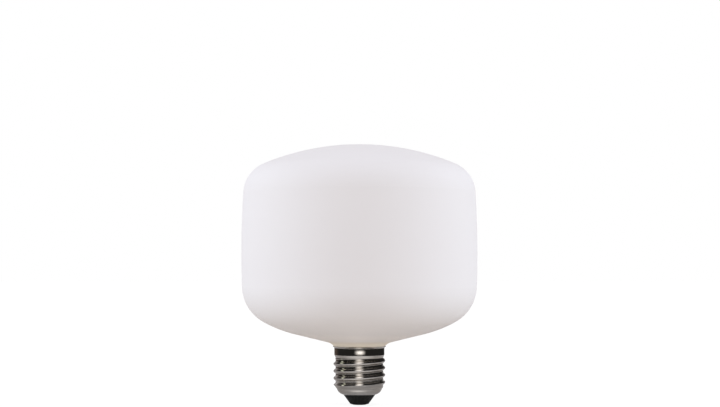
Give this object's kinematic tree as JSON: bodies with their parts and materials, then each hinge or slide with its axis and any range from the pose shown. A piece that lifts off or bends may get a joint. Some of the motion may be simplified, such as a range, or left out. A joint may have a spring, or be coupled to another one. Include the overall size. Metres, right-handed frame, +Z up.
{
  "type": "led light bulb",
  "caption": "Drum-shaped matt white LED light bulb with a low crown and rounded heel, on a threaded metal screw cap with a black insulator and centre contact.",
  "frame": {"origin": "centre of the bottom face of the centre contact", "axes": "+Z up the lamp's axis from the contact to the crown of the glass; +X to the right in the picture's view"},
  "size_m": [0.12, 0.12, 0.132],
  "materials": {
    "porcelain_glass": "opaque matt white coating",
    "nickel_plate": "bright nickel plate",
    "black_insulator": "satin black moulding",
    "contact_metal": "dull plated metal",
    "cement": "matt beige cement"
  },
  "bodies": {
    "root": {"glass_bulb": "porcelain_glass", "screw_shell": "nickel_plate", "insulator": "black_insulator", "centre_contact": "contact_metal", "cement_ring": "cement"}
  },
  "joints": []
}
